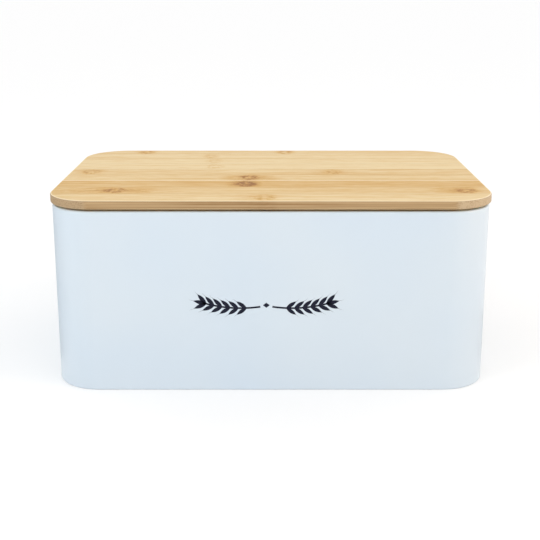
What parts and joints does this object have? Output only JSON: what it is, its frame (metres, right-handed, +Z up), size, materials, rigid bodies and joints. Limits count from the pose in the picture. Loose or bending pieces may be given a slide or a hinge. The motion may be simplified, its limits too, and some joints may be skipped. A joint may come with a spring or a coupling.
{
  "type": "bread box",
  "caption": "Rectangular painted steel bin with rounded corners and a lift-off bamboo board lid with a silicone seal, for keeping bread.",
  "frame": {"origin": "on the surface that the box stands on, under the middle of the box", "axes": "+X along the box's length, +Z up, and the front faces -Y"},
  "size_m": [0.335, 0.215, 0.1481],
  "materials": {
    "enamel": "pale blue-white gloss powder coat on sheet steel",
    "bamboo": "sanded and oiled bamboo staves",
    "seal": "translucent white silicone"
  },
  "bodies": {
    "bin": {"body_wall": "enamel", "base_pan": "enamel"},
    "lid": {"lid_stave_1": "bamboo", "lid_stave_2": "bamboo", "lid_stave_3": "bamboo", "lid_stave_4": "bamboo", "lid_stave_5": "bamboo", "lid_stave_6": "bamboo", "lid_stave_7": "bamboo", "lid_stave_8": "bamboo", "lid_stave_9": "bamboo", "lid_seal": "seal"}
  },
  "joints": [
    {"name": "lid_lift", "type": "slide", "parent": "bin", "child": "lid", "axis": [0, 0, 1], "range_m": [0, 0.2]}
  ]
}
